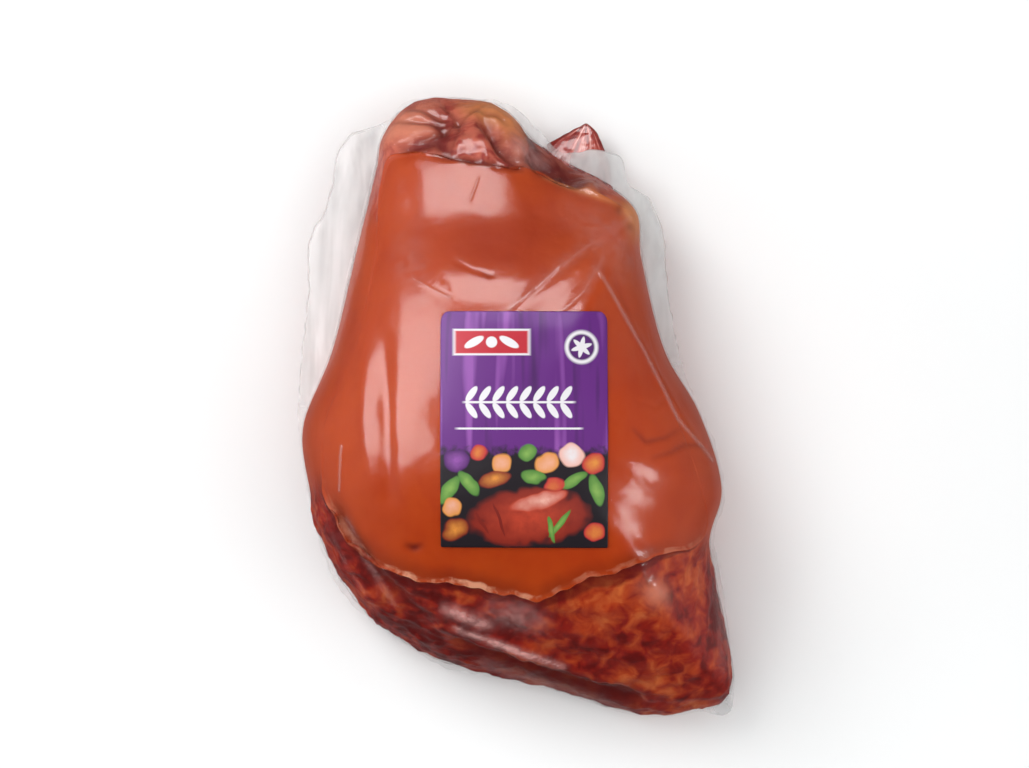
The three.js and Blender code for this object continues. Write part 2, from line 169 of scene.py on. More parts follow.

# Where the film over the butt, the hock and the rind is cloudy, partly its own haze and partly painted
# reflection and painted glints, as (points, width, share of haze)
HAZE_AND_GLINTS = [
    (((-14, -107), (9.7, -116), (30, -122.6), (46, -128)), 2.2, 0.16),
    (((84, -72), (86, -92), (87, -108)), 2.6, 0.14),
    (((-69, -46), (-61, -64), (-50, -82)), 1.1, 0.2),
    (((-76, -52), (-70, -66), (-60, -82)), 0.9, 0.08),
    # painted glints along the ledge and the rind's edge over the butt
    (((-29, -82.5), (-20, -86), (-12, -90)), 2.2, 0.9),
    (((-9, -83), (0, -85), (8, -88)), 4.5, 0.35),
    # painted reflection: pale haze on the rind beside the hock's glint and along the two creases
    (((24, 80), (38, 71), (46, 58)), 8, 0.12),
    (((-43, 74), (-43, 58), (-37, 45)), 7, 0.09),
    (((47, 78), (17.4, 57), (2, 44)), 3.0, 0.10),
    (((35.5, 61), (27.5, 47), (20, 38)), 2.4, 0.10),
    # a painted glint along the ledge
    (((-25, -91), (1.4, -101.4), (19, -108)), 1.3, 1.0),
    # a painted glint on the hock's lobe
    (((0, 110.5), (6, 104), (11, 101)), 2.8, 0.4),
]

# Where the film mirrors less, as (points, width, how much less)
DULL_PLACES = [
    (((-47, 112), (-34, 113)), 6, 1),
    (((-5, 108), (3, 102)), 4.5, 1),
    (((-13, 121), (-7, 114)), 3, 0.7),
    (((-84, -40), (-74, -66), (-50, -92)), 10, 0.8),
    (((-30, -84), (-6, -95), (24, -110)), 6, 0.8),
    (((-11, 116), (-7.5, 109), (-3, 103)), 4, 1),
]

# How finely the ham and the film are divided
SPOKES = 480
DOME_RINGS = 96
LIP_RINGS = 8
FACE_RINGS = 60
UNDER_RINGS = 20
BASE_RINGS = 6
MARGIN_RINGS = 12
PROFILE_STEPS = 121  # places along a side's profile, before its rings are spread evenly
SEAM_GAP = 1e-6  # in metres: vertices nearer than this become one

# The rind's cut edge, the film and the label, in millimetres
LIP_RUN = 0.9  # how far outside the rind's edge the cut face begins
LIP_OVERHANG = 1.5
SHADE_RINGS = 4  # rings under the rind's edge that lie in its shade
TABLE_GAP = 0.25  # how far the meat stays off the table, for the film to go under it
FILM_LIFT = 0.5  # how far the film lies off the meat
FILM_SLACK = 14  # rounds of smoothing that let the film span the rind's step
MARGIN_HALF = 0.3  # half the gap between the margin's two sheets where they leave the meat
LABEL_SIZE = (68.4, 96.2)  # as seen from above
LABEL_CENTRE = (3, -9)
LABEL_CORNER = 4
LABEL_THICKNESS = 0.3
LABEL_GAP = 0.2  # between the film and the label's back
LABEL_DROP = 6  # how far over the dome the label starts, before it is pressed on the film
LABEL_GRID = (67, 95)

# The film's looks
MIRROR_MOST = 0.14  # the largest share of light that it mirrors
CREASE_LINE = 0.65  # the width of a crease's pale line, in widths of the crease
CREASE_HAZE = 0.13
LINE_WOBBLE = 0.0012  # in metres: how far a pale line strays


def smoothstep(x, low, high):
    t = np.clip((x - low) / (high - low), 0, 1)
    return t * t * (3 - 2 * t)


def mix(a, b, t):
    return a + (b - a) * t


def closed_curve(points, steps=60):
    """Points along the smooth closed curve through an outline, crowded nowhere (centripetal Catmull-Rom)."""
    p1 = np.array(points, float)[:, None, :]
    p0, p2, p3 = (np.roll(p1, shift, axis=0) for shift in (1, -1, -2))
    pairs = ((p0, p1), (p1, p2), (p2, p3))
    d0, d1, d2 = (np.linalg.norm(b - a, axis=2, keepdims=True) ** 0.5 for a, b in pairs)
    t1 = ((p1 - p0) / d0 - (p2 - p0) / (d0 + d1) + (p2 - p1) / d1) * d1
    t2 = ((p2 - p1) / d1 - (p3 - p1) / (d1 + d2) + (p3 - p2) / d2) * d1
    t = (np.arange(steps) / steps)[None, :, None]
    curve = p1 + t1 * t + (-3 * p1 + 3 * p2 - 2 * t1 - t2) * t**2 + (2 * p1 - 2 * p2 + t1 + t2) * t**3
    return curve.reshape(-1, 2)


def reach_of(outline):
    """A function: the distance from CENTRE to a closed outline at an angle."""
    curve = closed_curve(outline) - CENTRE
    angles = np.arctan2(curve[:, 1], curve[:, 0])
    distances = np.hypot(curve[:, 0], curve[:, 1])
    return lambda angle: np.interp(angle, angles, distances, period=2 * np.pi)


meat_reach = reach_of(MEAT_OUTLINE)
film_reach = reach_of(FILM_OUTLINE)
rind_reach = reach_of(RIND_EDGE)


def crest_height(y):
    """The crest's height at a place along the ham, as a smooth curve through its stations."""
    places, heights = np.array(CREST, float).T
    slopes = np.empty_like(heights)
    slopes[1:-1] = (heights[2:] - heights[:-2]) / (places[2:] - places[:-2])
    slopes[0] = (heights[1] - heights[0]) / (places[1] - places[0])
    slopes[-1] = (heights[-1] - heights[-2]) / (places[-1] - places[-2])
    y = np.clip(y, places[0], places[-1])
    k = np.clip(np.searchsorted(places, y), 1, len(places) - 1)
    h = places[k] - places[k - 1]
    t = (y - places[k - 1]) / h
    start = (1 + 2 * t) * (1 - t) ** 2 * heights[k - 1] + t * (1 - t) ** 2 * h * slopes[k - 1]
    return start + t * t * (3 - 2 * t) * heights[k] + t * t * (t - 1) * h * slopes[k]


def in_sector(angle, sector, fade):
    """1 inside a sector, falling to 0 over fade degrees at its ends."""
    degrees = np.degrees(angle)
    away = np.abs((degrees - sum(sector) / 2 + 180) % 360 - 180)
    half = (sector[1] - sector[0]) / 2
    return 1 - smoothstep(away, half - fade, half)


def cut_share(angle):
    """1 where the side is cut meat and 0 where the rind goes on down the flank."""
    return np.maximum(in_sector(angle, BUTT_SECTOR, CUT_FADE), in_sector(angle, HOCK_SECTOR, CUT_FADE))


def rim_height(angle):
    """The height of the widest line."""
    butt = in_sector(angle, BUTT_SECTOR, SLOPE_FADE)
    hock = in_sector(angle, HOCK_SECTOR, SLOPE_FADE / 2)
    return FLANK_HEIGHT + (BUTT_HEIGHT - FLANK_HEIGHT) * butt + (HOCK_HEIGHT - FLANK_HEIGHT) * hock


def quarter(share, roundness):
    """A quarter of a superellipse: from 1 at share 0 down to 0 at share 1."""
    return np.clip(1 - np.minimum(share, 1) ** roundness, 0, None) ** (1 / roundness)


def dome_height(angle, distance):
    low = rim_height(angle)
    crest = crest_height(CENTRE[1] + distance * np.sin(angle))
    return low + (crest - low) * quarter(distance / meat_reach(angle), FLANK_ROUNDNESS)


def edge_reach(angle):
    """The rind's edge, a little uneven where it was cut."""
    uneven = 0.6 * np.sin(17 * angle) + 0.4 * np.sin(29 * angle + 1) + 0.25 * np.sin(67 * angle + 2)
    return rind_reach(angle) + uneven * cut_share(angle)


def evenly(polylines, count):
    """The same polylines, shape (points, spokes, 2), with their points spread evenly along their length."""
    steps = np.linalg.norm(np.diff(polylines, axis=0), axis=2)
    lengths = np.concatenate([np.zeros((1, steps.shape[1])), np.cumsum(steps, axis=0)])
    out = np.empty((count + 1, polylines.shape[1], 2))
    for spoke in range(polylines.shape[1]):
        wanted = np.linspace(0, lengths[-1, spoke], count + 1)
        for axis in range(2):
            out[:, spoke, axis] = np.interp(wanted, lengths[:, spoke], polylines[:, spoke, axis])
    return out


def dome_rings(angles):
    """(distance, height) of the rings from the middle out to the rind's edge."""
    shares = (np.arange(1, DOME_RINGS + 1) / DOME_RINGS)[:, None] ** 0.92
    distance = edge_reach(angles)[None, :] * shares
    return np.stack([distance, dome_height(angles[None, :], distance)], axis=2)


def lip_rings(angles):
    """The rind's cut edge: rounded over, then down to the meat. On the flanks these rings just go on."""
    t = (np.arange(1, LIP_RINGS + 1) / LIP_RINGS)[:, None]
    cut = cut_share(angles)[None, :]
    edge = edge_reach(angles)[None, :]
    out = LIP_RUN * t * (1 - cut) + cut * LIP_OVERHANG * np.sin(np.pi * t**0.6) ** 0.7
    top = dome_height(angles, edge)
    down = top - RIND_STEP * t**1.6
    return np.stack([edge + out, mix(dome_height(angles[None, :], edge + out), down, cut)], axis=2)


def face_rings(angles):
    """From the foot of the rind's edge down the cut face or the flank to the widest line."""
    t = np.sin(np.linspace(0, np.pi / 2, PROFILE_STEPS))[:, None]
    edge, reach, low = edge_reach(angles), meat_reach(angles), rim_height(angles)
    foot = np.maximum(dome_height(angles, edge) - RIND_STEP, low + 1)
    distance = mix(edge + LIP_RUN, reach, t)
    face = low + (foot - low) * quarter(t, BUTT_ROUNDNESS)
    height = mix(dome_height(angles[None, :], distance), face, cut_share(angles))
    return evenly(np.stack([distance, height], axis=2), FACE_RINGS)


def upper_rings(angles):
    """All rings from the middle out to the widest line."""
    return np.concatenate([dome_rings(angles), lip_rings(angles), face_rings(angles)[1:]])


def under_rings(angles):
    """From the widest line round under to the flat base."""
    turn = np.linspace(0, np.pi / 2, PROFILE_STEPS)[:, None]
    inward = 1 - np.cos(turn) ** (2 / UNDER_ROUNDNESS)
    height = rim_height(angles) * (1 - np.sin(turn) ** (2 / UNDER_ROUNDNESS))
    distance = meat_reach(angles) * mix(1, BASE_SHARE, inward)
    return evenly(np.stack([distance, height], axis=2), UNDER_RINGS)


def base_rings(angles):
    shares = BASE_SHARE * (1 - np.arange(1, BASE_RINGS) / BASE_RINGS)[:, None]
    distance = meat_reach(angles)[None, :] * shares
    return np.stack([distance, np.zeros_like(distance)], axis=2)


def margin_rings(angles, side):
    """One sheet of the film's loose margin, from the meat outwards: 1 is the upper sheet, -1 the lower."""
    t = (np.arange(1, MARGIN_RINGS + 1) / MARGIN_RINGS)[:, None]
    inner = meat_reach(angles)
    ragged = 0.2 * np.sin(43 * angles) + 0.2 * np.sin(71 * angles + 2) + 0.15 * np.sin(113 * angles + 1)
    outer = np.maximum(film_reach(angles) + ragged, inner + 1.2)
    loose = smoothstep(outer - inner, 1, 12)
    wave = 2.6 * np.sin(5 * angles) + 1.2 * np.sin(11 * angles + 1) - 5
    pleats = 0.12 * np.sin(43 * angles + 5 * t) + 0.08 * np.sin(71 * angles - 7 * t)
    height = np.maximum(4, rim_height(angles) + loose * t * (wave + pleats))
    apart = MARGIN_HALF * (1 - t**4) + 0.05
    return np.stack([mix(inner, outer, t), height + side * apart], axis=2)


def spoke_angles():
    turn = np.arange(SPOKES) / SPOKES * 2 * np.pi
    return turn + SPOKE_CROWDING * np.sin(2 * turn)


def deselect_all():
    bpy.ops.object.select_all(action="DESELECT")


def wrapped_grid(name, rings, angles):
    """A grid wrapped round the ham and closed: its rows become the (distance, height) rings round CENTRE."""
    deselect_all()
    top = dome_height(0.0, 0.0)
    table = np.concatenate([np.full((1, SPOKES, 2), (0, top)), rings, np.zeros((1, SPOKES, 2))])
    rows = len(table) - 1
    bpy.ops.mesh.primitive_grid_add(x_subdivisions=SPOKES, y_subdivisions=rows, size=2)
    piece = bpy.context.object
    piece.name = piece.data.name = name
    flat = np.empty(len(piece.data.vertices) * 3)
    piece.data.vertices.foreach_get("co", flat)
    flat = flat.reshape(-1, 3)
    spoke = np.rint((flat[:, 0] + 1) / 2 * SPOKES).astype(np.int32) % SPOKES
    ring = np.rint((1 - flat[:, 1]) / 2 * rows).astype(np.int32)
    distance, height = table[ring, spoke, 0], table[ring, spoke, 1]
    angle = angles[spoke]
    set_places(piece, np.stack([
        CENTRE[0] + distance * np.cos(angle), CENTRE[1] + distance * np.sin(angle), height,
    ], axis=1))
    paint(piece, "ring", ring)
    paint(piece, "angle", angle)
    bpy.ops.object.mode_set(mode="EDIT")
    bpy.ops.mesh.select_all(action="SELECT")
    bpy.ops.mesh.remove_doubles(threshold=SEAM_GAP)
    bpy.ops.mesh.select_all(action="DESELECT")
    bpy.ops.object.mode_set(mode="OBJECT")
    return piece, take_back(piece, "ring"), take_back(piece, "angle")


def set_places(piece, place):
    """Puts the piece's vertices at places given in the outlines' millimetres."""
    piece.data.vertices.foreach_set("co", ((place + TO_MIDDLE) * MM).ravel())
    piece.data.update()


def get_places(piece):
    co = np.empty(len(piece.data.vertices) * 3)
    piece.data.vertices.foreach_get("co", co)
    return co.reshape(-1, 3) / MM - TO_MIDDLE


def get_normals(piece):
    normal = np.empty(len(piece.data.vertices) * 3)
    piece.data.vertices.foreach_get("normal", normal)
    return normal.reshape(-1, 3)


def along_line(place, points, width, height):
    """How high a ridge along a line of points stands at each place, fading towards the line's ends."""
    points = np.array(points, float)
    lengths = np.linalg.norm(np.diff(points, axis=0), axis=1)
    starts = np.concatenate([[0], np.cumsum(lengths)])
    nearest, share = np.full(len(place), np.inf), np.zeros(len(place))
    for k in range(len(lengths)):
        offset, along = place[:, :2] - points[k], points[k + 1] - points[k]
        t = np.clip(offset @ along / (along @ along), 0, 1)
        away = np.linalg.norm(offset - t[:, None] * along, axis=1)
        closer = away < nearest
        nearest = np.where(closer, away, nearest)
        share = np.where(closer, (starts[k] + t * lengths[k]) / starts[-1], share)
    return height * np.exp(-((nearest / width) ** 2)) * np.sin(np.pi * mix(0.15, 0.85, share))


def all_folds(place):
    return sum(along_line(place, points, width, height) for points, width, height, _ in FOLDS)


def tinted(place, tint):
    """How strongly a tint of the folds shows at each place, from 0 to 1."""
    return sum(along_line(place, points, width, 1) for points, width, _, name in FOLDS if name == tint)


def push_out(piece, amount):
    """Moves the vertices along their normals by millimetres, keeping them above the table."""
    place = get_places(piece) + get_normals(piece) * np.asarray(amount)[:, None]
    place[:, 2] = np.maximum(place[:, 2], 0)
    set_places(piece, place)


def upper_side(piece):
    place, normal = get_places(piece), get_normals(piece)
    return smoothstep(place[:, 2], 4, 16) * (normal[:, 2] > -0.2)


def paint(piece, name, values):
    """Keeps a number for each vertex, for the materials to read."""
    piece.data.attributes.new(name, "FLOAT", "POINT").data.foreach_set("value", values.astype(np.float32))


def take_back(piece, name):
    """The numbers that paint kept under a name, which is then free again."""
    layer = piece.data.attributes[name]
    values = np.empty(len(piece.data.vertices), np.float32)
    layer.data.foreach_get("value", values)
    piece.data.attributes.remove(layer)
    return values


def group(piece, name, weights):
    """A vertex group with a weight for each vertex, in 20 steps."""
    vertex_group = piece.vertex_groups.new(name=name)
    steps = np.rint(np.clip(weights, 0, 1) * 20).astype(int)
    for step in range(1, 21):
        members = np.nonzero(steps == step)[0]
        vertex_group.add(members.tolist(), step / 20, "REPLACE")


def apply(piece, kind, **settings):
    """Adds a modifier with these settings and applies it."""
    modifier = piece.modifiers.new(kind.title(), kind)
    for key, value in settings.items():
        setattr(modifier, key, value)
    deselect_all()
    piece.select_set(True)
    bpy.context.view_layer.objects.active = piece
    bpy.ops.object.modifier_apply(modifier=modifier.name)


def lumps(name, size):
    """A cloud pattern whose lumps are about size metres across, for Displace."""
    texture = bpy.data.textures.new(name, "CLOUDS")
    texture.noise_scale = size
    texture.noise_depth = 3
    return texture


def displace(piece, name, size, strength, weights):
    group(piece, name, weights)
    apply(
        piece, "DISPLACE", texture=lumps(name, size), strength=strength, mid_level=0.5,
        vertex_group=name, texture_coords="LOCAL",
    )


def smooth_all(piece):
    deselect_all()
    piece.select_set(True)
    bpy.context.view_layer.objects.active = piece
    bpy.ops.object.shade_smooth()


# The ham: rind over the dome and flanks, cut meat at both ends
def make_ham():
    angles = spoke_angles()
    rings = np.concatenate([upper_rings(angles), under_rings(angles)[1:], base_rings(angles)])
    ham, ring, angle = wrapped_grid("smoked_ham", rings, angles)
    place = get_places(ham)
    across, along, height = place.T
    cut = cut_share(angle)
    butt = in_sector(angle, BUTT_SECTOR, CUT_FADE)
    lip_end = DOME_RINGS + LIP_RINGS
    on_face = ring > lip_end
    meat = np.where(on_face, cut, 0)
    meat = np.maximum(meat, (ring > DOME_RINGS) * (1 - smoothstep(height, 10, 24)))
    # the rind's cut edge at the butt painted pale: partly the pale fat of the edge, partly a painted
    # highlight where the film catches the light
    lip = np.where((ring > DOME_RINGS - 2) & (ring <= lip_end - 2), butt, 0)
    lip = lip * (1 - 0.7 * smoothstep(across, -2, 14)) * (0.3 + 0.7 * smoothstep(across, -66, -44))
    # painted shade: the rind darkens over its last rings towards the butt's cut edge
    edge = np.where(ring <= DOME_RINGS, smoothstep(ring / DOME_RINGS, 0.88, 0.99), 0) * butt
    lean = butt * (1 - smoothstep(across - 0.45 * along, 20, 62))
    lean = np.maximum(lean, along_line(place, ((78, -58), (83, -85), (86, -114)), 6.5, 1))
    # painted shade: the rings just under the rind's edge at the butt, laid into the dark tint
    shade = np.where((ring > lip_end - 2) & (ring < lip_end + SHADE_RINGS), butt, 0)
    hock = np.where(on_face, in_sector(angle, HOCK_SECTOR, CUT_FADE), 0)
    paint(ham, "meat", meat)
    paint(ham, "hock", hock * upper_side(ham))
    paint(ham, "lip", lip)
    paint(ham, "edge", edge)
    paint(ham, "lean", lean)
    for tint in ("deep", "dark", "faint", "tan", "skin", "fat"):
        shown = tinted(place, tint) + (shade * 0.7 if tint == "dark" else 0)
        paint(ham, tint, np.clip(shown, 0, 1))
    push_out(ham, upper_side(ham) * all_folds(place))
    rough = on_face * upper_side(ham) * mix(0.4, 1, butt) * cut
    displace(ham, "crags", 0.012, 0.0042, rough)
    displace(ham, "grain", 0.004, 0.0012, rough)
    displace(ham, "swells", 0.03, 0.0014, (ring <= DOME_RINGS) * 1.0)
    place = get_places(ham)
    place[:, 2] = np.maximum(place[:, 2], TABLE_GAP)
    set_places(ham, place)
    smooth_all(ham)
    return ham


# The bag: one clear sheet over the ham and one under it, sealed together beyond the meat
def make_film(ham):
    angles = spoke_angles()
    upper = upper_rings(angles)
    for _ in range(FILM_SLACK):
        upper[1:-1] = (upper[:-2] + 2 * upper[1:-1] + upper[2:]) / 4
    margin_top = margin_rings(angles, 1)
    margin_under = margin_rings(angles, -1)[:-1][::-1]
    rings = np.concatenate([
        upper, margin_top, margin_under, under_rings(angles)[1::2], base_rings(angles)[::2],
    ])
    film, ring, angle = wrapped_grid("clear_film", rings, angles)
    first = len(upper)
    last = first + len(margin_top) + len(margin_under)
    on_margin = (ring > first) & (ring <= last)
    upper_part = ring <= first
    cut = cut_share(angle)
    over_meat = upper_part * (ring > DOME_RINGS + LIP_RINGS) * cut
    place = get_places(film)
    folds = all_folds(place)
    creases = sum(along_line(place, *crease) for crease in CREASES)
    lift = np.where(on_margin, 0, FILM_LIFT)
    push_out(film, upper_part * upper_side(film) * (folds + creases) + lift)
    displace(film, "fine crinkles", 0.0035, 0.0009, over_meat)
    displace(film, "crinkles", 0.007, 0.0016, upper_part * np.maximum(cut * (ring > DOME_RINGS), 0.15))
    apply(
        film, "SHRINKWRAP", target=ham, wrap_method="NEAREST_SURFACEPOINT", wrap_mode="OUTSIDE",
        offset=FILM_LIFT * MM * 0.7,
    )
    place = get_places(film)
    loose = smoothstep(film_reach(angle) - meat_reach(angle), 1, 8)
    paint(film, "loose", on_margin * loose)
    paint(film, "margin", on_margin * 1.0)
    # painted highlight: a pale line where the margin leaves the meat
    paint(film, "seam_glint", ((ring > first) & (ring <= first + 1)) * loose)
    paint(film, "dull", sum(along_line(place, *spot) for spot in DULL_PLACES))
    paint(film, "haze_and_glint", upper_side(film) * sum(along_line(place, *haze_and_glint) for haze_and_glint in HAZE_AND_GLINTS))
    paint(film, "over_meat", over_meat)
    smooth_all(film)
    return film


# The pointed lump of meat that sticks out from under the margin beside the hock
LUMP_TIP = np.array([29.5, 120, 13])
LUMP_LENGTH = 30
LUMP_RADIUS = 26
LUMP_ROUNDNESS = 1.25
LUMP_LEAN = 0.5
LUMP_FLATNESS = 0.45
LUMP_BACK = np.pi * 0.75  # how far round from the tip its blunt back begins


def make_lump():
    deselect_all()
    bpy.ops.mesh.primitive_uv_sphere_add(segments=96, ring_count=64, radius=1, rotation=(-math.pi / 2, 0, 0))
    lump = bpy.context.object
    lump.name = lump.data.name = "hock_lump"
    bpy.ops.object.transform_apply(location=False, rotation=True, scale=False)
    ball = (get_places(lump) + TO_MIDDLE) * MM
    turn = np.arccos(np.clip(ball[:, 1], -1, 1))
    from_tip = 1 - np.cos(np.minimum(turn, LUMP_BACK) / 1.5)
    around = np.arctan2(ball[:, 2], ball[:, 0])
    radius = LUMP_RADIUS * quarter(1 - np.clip(from_tip, 0, 1), LUMP_ROUNDNESS)
    radius *= np.where(turn > LUMP_BACK, np.sin((np.pi - turn) * 2), 1)
    along = -LUMP_LENGTH * np.clip(from_tip, 0, 1)
    place = np.stack([
        radius * np.cos(around) + LUMP_LEAN * along, along, radius * np.sin(around) * LUMP_FLATNESS,
    ], axis=1) + LUMP_TIP
    set_places(lump, place)
    displace(lump, "crags", 0.010, 0.0022, np.ones(len(place)))
    smooth_all(lump)
    paint(lump, "around", around)
    paint(lump, "from_tip", from_tip)
    return lump


def surface_height(x, y):
    """The dome's height at places in the outlines' millimetres."""
    angle = np.arctan2(y - CENTRE[1], x - CENTRE[0])
    return dome_height(angle, np.hypot(x - CENTRE[0], y - CENTRE[1]))


# The label: a sheet with its top corners round, pressed on the film
def make_label(film):
    deselect_all()
    columns, rows = LABEL_GRID
    bpy.ops.mesh.primitive_grid_add(x_subdivisions=columns, y_subdivisions=rows, size=2)
    label = bpy.context.object
    label.name = label.data.name = "paper_label"
    flat = np.empty(len(label.data.vertices) * 3)
    label.data.vertices.foreach_get("co", flat)
    flat = flat.reshape(-1, 3)
    half_width, half_height = LABEL_SIZE[0] / 2, LABEL_SIZE[1] / 2
    y = flat[:, 1] * half_height
    near_end = np.maximum(0, y - (half_height - LABEL_CORNER))
    inset = LABEL_CORNER - np.sqrt(np.maximum(0, LABEL_CORNER**2 - near_end**2))
    x = flat[:, 0] * (half_width - inset)
    layer = label.data.uv_layers.active or label.data.uv_layers.new(name="print")
    layer.name = "print"
    corners = np.empty(len(label.data.loops), dtype=np.int32)
    label.data.loops.foreach_get("vertex_index", corners)
    uv = np.stack([x / LABEL_SIZE[0] + 0.5, y / LABEL_SIZE[1] + 0.5], axis=1)
    layer.data.foreach_set("uv", uv[corners].ravel())
    x, y = x + LABEL_CENTRE[0], y + LABEL_CENTRE[1]
    set_places(label, np.stack([x, y, surface_height(x, y) + LABEL_DROP], axis=1))
    apply(
        label, "SHRINKWRAP", target=film, wrap_method="PROJECT", use_project_z=True,
        use_negative_direction=True, use_positive_direction=True, offset=(LABEL_GAP + LABEL_THICKNESS) * MM,
    )
    apply(label, "SMOOTH", factor=0.5, iterations=12)
    apply(label, "SOLIDIFY", thickness=LABEL_THICKNESS * MM, offset=-1)
    smooth_all(label)
    return label


class Shader:
    """The nodes of a material or of the world, made by short calls."""

    def __init__(self, owner):
        self.owner = owner
        owner.use_nodes = True
        self.tree = owner.node_tree
        self.tree.nodes.clear()

    def node(self, kind, inputs=None, **settings):
        node = self.tree.nodes.new(kind)
        for key, value in settings.items():
            setattr(node, key, value)
        for key, value in (inputs or {}).items():
            self.feed(node.inputs[key], value)
        return node

    def feed(self, socket, value):
        if isinstance(value, bpy.types.NodeSocket):
            self.tree.links.new(value, socket)
        elif isinstance(value, tuple) and len(value) == 3 and socket.type == "RGBA":
            socket.default_value = (*value, 1)
        else:
            socket.default_value = value

    def math(self, operation, a, b=0.0, clamp=False):
        return self.node("ShaderNodeMath", {0: a, 1: b}, operation=operation, use_clamp=clamp).outputs[0]

    def times(self, a, b):
        return self.math("MULTIPLY", a, b)

    def parts(self, vector):
        """The three numbers of a vector."""
        return self.node("ShaderNodeSeparateXYZ", {0: vector}).outputs

    def mix(self, factor, a, b):
        node = self.node("ShaderNodeMix", {0: factor, 6: a, 7: b}, data_type="RGBA", clamp_factor=True)
        return node.outputs[2]

    def ramp(self, factor, stops):
        node = self.node("ShaderNodeValToRGB", {0: factor})
        elements = node.color_ramp.elements
        while len(elements) < len(stops):
            elements.new(0.5)
        for element, (place, colour) in zip(elements, stops):
            element.position = place
            element.color = (*colour, 1)
        return node.outputs[0]

    def range(self, value, low, high, to_low=0.0, to_high=1.0):
        node = self.node("ShaderNodeMapRange", {0: value, 1: low, 2: high, 3: to_low, 4: to_high}, clamp=True)
        return node.outputs[0]

    def noise(self, scale, detail=3.0, roughness=0.5, distortion=0.0, where=None):
        inputs = {"Scale": scale, "Detail": detail, "Roughness": roughness, "Distortion": distortion}
        node = self.node("ShaderNodeTexNoise", inputs)
        self.feed(node.inputs["Vector"], where or self.place())
        return node.outputs[0]

    def place(self):
        return self.node("ShaderNodeTexCoord").outputs["Object"]

    def moved(self, where, centre=(0, 0, 0), turn=0.0, size=(1, 1, 1)):
        """Coordinates counted from centre, turned back by turn and divided by size."""
        inputs = {"Vector": where, "Location": centre, "Rotation": (0, 0, turn), "Scale": size}
        return self.node("ShaderNodeMapping", inputs, vector_type="TEXTURE").outputs[0]

    def attribute(self, name):
        return self.node("ShaderNodeAttribute", attribute_name=name).outputs["Fac"]

    def mirror_share(self, normal):
        """How much of the light a clear surface mirrors, the same seen from both its sides."""
        away = self.node("ShaderNodeLayerWeight", {"Blend": 0.5, "Normal": normal}).outputs["Facing"]
        grazing = self.math("POWER", away, 5.0)
        return self.math("ADD", self.times(grazing, 0.96), 0.04)

    def bump(self, height, distance, strength=1.0, normal=None):
        inputs = {"Height": height, "Distance": distance, "Strength": strength}
        if normal:
            inputs["Normal"] = normal
        return self.node("ShaderNodeBump", inputs).outputs[0]

    def line(self, start, end, width):
        """A soft thin line between two places in the outlines' millimetres, seen from above."""
        start, end = np.array(start) + TO_MIDDLE[:2], np.array(end) + TO_MIDDLE[:2]
        along = (end - start) * MM
        noise = self.node("ShaderNodeTexNoise", {"Vector": self.place(), "Scale": 90.0, "Detail": 2.0})
        inputs = {0: noise.outputs["Color"], 1: (LINE_WOBBLE,) * 3, 2: self.place()}
        shaken = self.node("ShaderNodeVectorMath", inputs, operation="MULTIPLY_ADD").outputs[0]
        centre = np.array((*(start * MM), 0)) + LINE_WOBBLE / 2
        size = (math.hypot(*along), width * MM, 1)
        parts = self.parts(self.moved(shaken, tuple(centre), math.atan2(along[1], along[0]), size))
        across = self.range(self.math("ABSOLUTE", parts[1]), 0, 1, 1, 0)
        from_middle = self.math("ABSOLUTE", self.math("SUBTRACT", parts[0], 0.5))
        return self.times(across, self.range(from_middle, 0.5, 0.56, 1, 0))

    def finish(self, surface, output="ShaderNodeOutputMaterial"):
        self.node(output, {"Surface": surface})
        return self.owner


# Colours as linear light
RIND_BROWN = (0.44, 0.042, 0.0035)
RIND_OCHRE = (0.485, 0.058, 0.005)
RIND_RED = (0.34, 0.023, 0.003)
RIND_SHADOW = (0.22, 0.022, 0.004)
HOCK_TAN = (0.56, 0.127, 0.078)
HOCK_RED = (0.34, 0.040, 0.030)
FOLD_TAN = (0.68, 0.24, 0.15)
SKIN_GOLD = (0.68, 0.24, 0.085)
# DARK_RED is painted shade in grooves, hollows and under the rind's edge, and the colour of a small nick in
# the rind
DARK_RED = (0.115, 0.007, 0.006)
MEAT_MAROON = (0.15, 0.006, 0.005)
MEAT_RED = (0.29, 0.013, 0.007)
MEAT_RUST = (0.47, 0.055, 0.012)
MEAT_FAT = (0.58, 0.113, 0.028)
FAT_ORANGE = (0.66, 0.155, 0.036)
# pale fat of the rind's cut edge together with a painted highlight
LIP_PALE_AND_GLINT = (0.74, 0.33, 0.20)
MARGIN_SHADOW_GREY = (0.60, 0.615, 0.615)
# pink of the painted glints and of the film's haze
HAZE_AND_GLINT_PINK = (0.86, 0.44, 0.41)

# The tints as (name, how much of its colour shows, colour), in the order they lie over each other
TINTS = [
    # deep is painted shade on the rind
    ("deep", 0.55, RIND_RED), ("tan", 0.75, FOLD_TAN), ("skin", 0.9, SKIN_GOLD),
    # faint and dark: painted shade in creases, grooves, hollows and under the rind's edge
    ("faint", 0.45, DARK_RED), ("dark", 0.85, DARK_RED),
]


def new_material(name):
    return Shader(bpy.data.materials.new(name))


def meat_colour(shader):
    stretched = shader.moved(shader.place(), size=(1, 1, 1.9))
    patches = shader.noise(150, 3, 0.52, 0.5, stretched)
    blotches = shader.noise(34, 2, 0.5, 0, shader.moved(shader.place(), (0.013, 0.02, 0)))
    tone = shader.math("ADD", shader.times(patches, 0.58), shader.times(blotches, 0.42))
    tone = shader.math("ADD", tone, shader.times(shader.attribute("fat"), 0.07))
    tone = shader.math("SUBTRACT", tone, shader.times(shader.attribute("lean"), 0.07))
    stops = [(0.37, MEAT_MAROON), (0.46, MEAT_RED), (0.56, MEAT_RUST), (0.65, MEAT_FAT), (0.73, FAT_ORANGE)]
    return shader.ramp(tone, stops)


